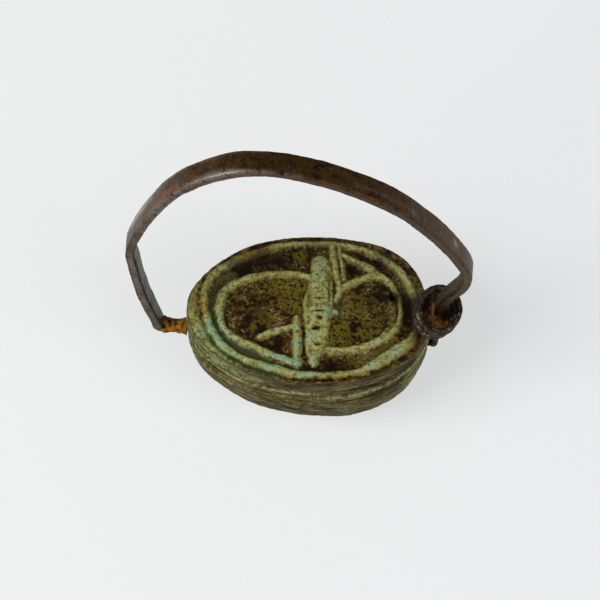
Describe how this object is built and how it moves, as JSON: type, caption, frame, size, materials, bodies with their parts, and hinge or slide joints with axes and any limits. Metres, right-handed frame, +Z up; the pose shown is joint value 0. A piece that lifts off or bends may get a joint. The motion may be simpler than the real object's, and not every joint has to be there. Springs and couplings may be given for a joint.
{
  "type": "scarab swivel ring",
  "caption": "Ancient finger ring: a carved glazed scarab that turns on a wire held in a flat bronze hoop, the wire's end wound round the hoop's shank.",
  "frame": {"origin": "on the worn flat of the scarab's back, straight below the middle of the bore", "axes": "+X along the wire from the hoop's plain foot to its wound end, +Y away from the viewer, +Z up through the finger hole"},
  "size_m": [0.0221, 0.0116, 0.0292],
  "materials": {
    "glazed_stone": "worn green glaze on carved steatite, ground stained dark brown",
    "hoop_bronze": "hammered bronze, dark brown patina with orange spots",
    "wire_bronze": "drawn bronze wire, corroded, rusty between the turns"
  },
  "bodies": {
    "ring": {"hoop": "hoop_bronze", "swivel_wire": "wire_bronze"},
    "scarab": {"scarab": "glazed_stone"}
  },
  "joints": [
    {"name": "scarab_swivel", "type": "hinge", "parent": "ring", "child": "scarab", "pos_m": [0, 0, 0.0039], "axis": [1, 0, 0], "continuous": true}
  ]
}
